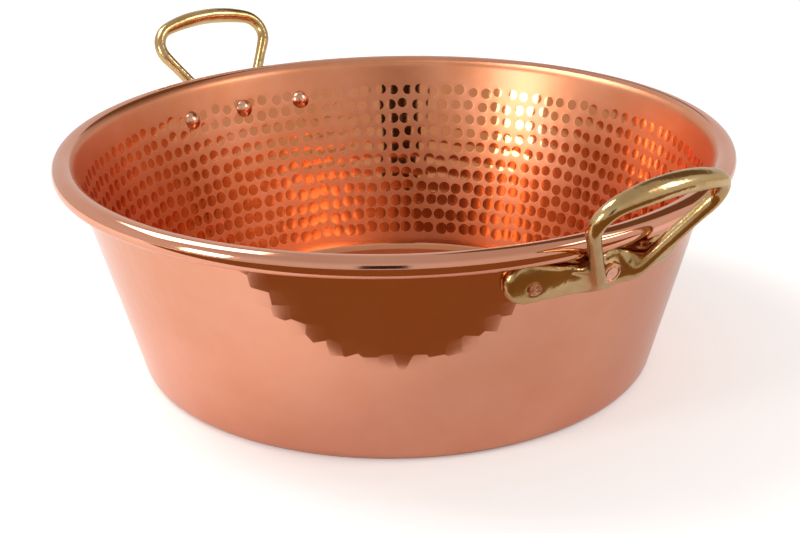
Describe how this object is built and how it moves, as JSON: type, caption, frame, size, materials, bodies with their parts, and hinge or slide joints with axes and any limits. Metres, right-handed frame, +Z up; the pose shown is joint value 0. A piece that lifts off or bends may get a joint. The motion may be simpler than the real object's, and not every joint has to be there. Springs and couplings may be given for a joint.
{
  "type": "jam pan",
  "caption": "Round flared copper jam pan with a rolled, wired rim, a hammered inner wall and cast brass loop handles riveted to its sides.",
  "frame": {"origin": "centre of the flat underside of the base, on the surface that the pan stands on", "axes": "+X from the centre towards the front handle, +Y along the wall between the handles, +Z up out of the open mouth"},
  "size_m": [0.4762, 0.4, 0.1712],
  "materials": {
    "copper": "polished",
    "wire": "drawn",
    "cast_brass": "satin",
    "rivet_copper": "satin"
  },
  "bodies": {
    "root": {"pan_shell": "copper", "rim_wire": "wire", "front_handle": "cast_brass", "back_handle": "cast_brass", "front_left_rivet": "rivet_copper", "front_centre_rivet": "rivet_copper", "front_right_rivet": "rivet_copper", "back_left_rivet": "rivet_copper", "back_centre_rivet": "rivet_copper", "back_right_rivet": "rivet_copper"}
  },
  "joints": []
}
